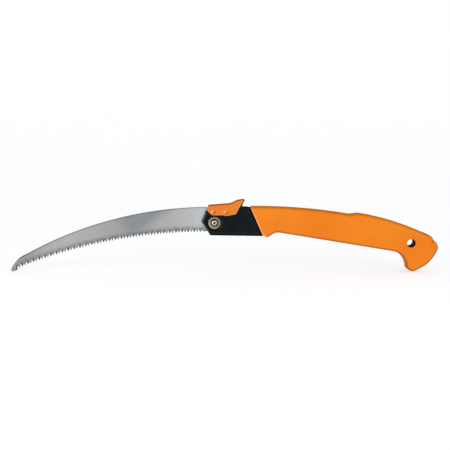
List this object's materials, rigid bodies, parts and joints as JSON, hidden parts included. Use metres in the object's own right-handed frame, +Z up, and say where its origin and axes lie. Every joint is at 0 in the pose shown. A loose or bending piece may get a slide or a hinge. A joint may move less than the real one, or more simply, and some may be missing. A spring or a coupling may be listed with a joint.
{
  "type": "folding pruning saw",
  "caption": "Folding pruning saw: curved toothed blade that swings into a hooked pistol-style handle, with a sprung thumb latch over black jaws and a hanging hole in the butt.",
  "frame": {"origin": "centre of the hanging hole in the butt of the handle, on the mid-plane between the two shells", "axes": "+X from the blade's tip towards the butt of the handle, +Y through the thickness from the front shell to the rear shell, +Z up towards the spine and the latch"},
  "size_m": [0.5469, 0.023, 0.0931],
  "materials": {
    "blade_steel": "ground with fine lines across the blade",
    "bright_steel": "bright zinc plated",
    "spring_steel": "drawn wire",
    "bronze": "turned, satin",
    "black_nylon": "fine moulded grain",
    "orange_nylon": "satin moulded",
    "orange_rivet": "orange paint over steel",
    "orange_grip": "soft satin with a fine grain"
  },
  "bodies": {
    "handle": {"handle_front": "orange_grip", "handle_rear": "orange_grip", "handle_screw_1": "bright_steel", "handle_screw_2": "bright_steel", "handle_screw_3": "bright_steel", "handle_screw_4": "bright_steel", "handle_screw_5": "bright_steel", "handle_screw_6": "bright_steel", "jaw_front": "black_nylon", "jaw_rear": "black_nylon", "jaw_spacer": "black_nylon", "pivot_screw": "bright_steel", "pivot_nut": "bright_steel", "pivot_barrel": "bright_steel", "pivot_washer_front": "bronze", "pivot_washer_rear": "bronze", "thrust_washer_front": "bronze", "thrust_washer_rear": "bronze", "latch_spring": "spring_steel"},
    "blade": {"blade": "blade_steel"},
    "latch": {"latch_saddle": "orange_nylon", "latch_core": "black_nylon", "latch_hinge_rivet": "orange_rivet", "latch_lock_pin": "orange_rivet"}
  },
  "joints": [
    {"name": "blade_fold", "type": "hinge", "parent": "handle", "child": "blade", "pos_m": [-0.2503, 0, 0.0256], "axis": [0, -1, 0], "range_deg": [0, 162.6]},
    {"name": "latch_press", "type": "hinge", "parent": "handle", "child": "latch", "pos_m": [-0.236, 0, 0.0391], "axis": [0, 1, 0], "range_deg": [-4.75, 4], "stiffness_Nm_per_rad": 0.8, "deforming": ["latch_spring"]}
  ]
}
